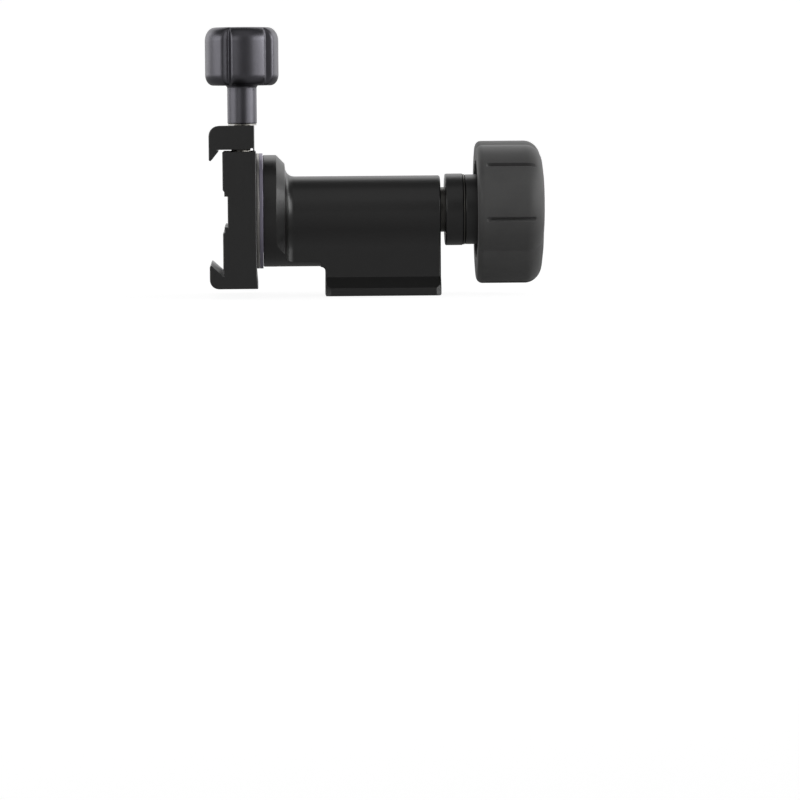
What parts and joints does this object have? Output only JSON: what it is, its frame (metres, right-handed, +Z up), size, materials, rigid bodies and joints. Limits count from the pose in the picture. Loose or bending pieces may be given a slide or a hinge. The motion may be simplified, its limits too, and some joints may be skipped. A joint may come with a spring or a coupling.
{
  "type": "gimbal tripod head",
  "caption": "Side-mount gimbal head with a dovetail quick release clamp on a tilting axle, a lock knob and a tripod thread in its foot.",
  "frame": {"origin": "middle of the tripod thread's mouth in the foot's underside", "axes": "+X along the tilt axis from the clamp towards the large knob, +Z up, -Y the side that the picture shows"},
  "size_m": [0.105, 0.06, 0.0837],
  "materials": {
    "black_anodised": "bead-blasted, black anodised",
    "grey_anodised": "satin lavender-grey anodised",
    "steel": "turned and polished",
    "bronze": "plain sintered bronze",
    "rubber": "matte moulded rubber",
    "black_plastic": "matte moulded plastic"
  },
  "bodies": {
    "housing": {"housing": "black_anodised", "front_bush": "bronze", "rear_bush": "bronze", "base_insert": "steel"},
    "axle": {"axle": "steel", "friction_ring": "grey_anodised", "collar_key": "steel", "retaining_washer": "steel", "retaining_screw": "steel", "clamp_body": "black_anodised", "clamp_bolt": "steel", "clamp_dowel_front": "steel", "clamp_dowel_rear": "steel", "jaw_spring_front": "steel", "jaw_spring_rear": "steel"},
    "jaw": {"clamp_jaw": "black_anodised", "guide_pin_front": "steel", "guide_pin_rear": "steel", "clamp_washer": "steel"},
    "clamp_knob": {"clamp_knob": "grey_anodised", "clamp_screw": "steel"},
    "lock_collar": {"lock_collar": "black_anodised", "thrust_washer": "steel"},
    "tilt_knob": {"knob_hub": "black_anodised", "knob_grip": "rubber", "knob_cap": "black_plastic"}
  },
  "joints": [
    {"name": "tilt", "type": "hinge", "parent": "housing", "child": "axle", "pos_m": [0, 0, 0.0265], "axis": [1, 0, 0], "continuous": true},
    {"name": "knob_travel", "type": "slide", "parent": "axle", "child": "lock_collar", "axis": [1, 0, 0], "range_m": [-0.00121, 0.00211]},
    {"name": "knob_turn", "type": "hinge", "parent": "lock_collar", "child": "tilt_knob", "pos_m": [0, 0, 0.0265], "axis": [1, 0, 0], "range_deg": [-288, 504]},
    {"name": "jaw_slide", "type": "slide", "parent": "axle", "child": "jaw", "axis": [0, 0, 1], "range_m": [0, 0.00401], "deforming": ["jaw_spring_front", "jaw_spring_rear"]},
    {"name": "clamp_knob_turn", "type": "hinge", "parent": "jaw", "child": "clamp_knob", "pos_m": [-0.04355, 0, 0.0265], "axis": [0, 0, 1], "range_deg": [0, 1800]}
  ],
  "couplings": [
    {"joint": "knob_travel", "follows": "knob_turn", "m_per_rad": 0.00023873},
    {"joint": "jaw_slide", "follows": "clamp_knob_turn", "m_per_rad": 0.00012732}
  ]
}
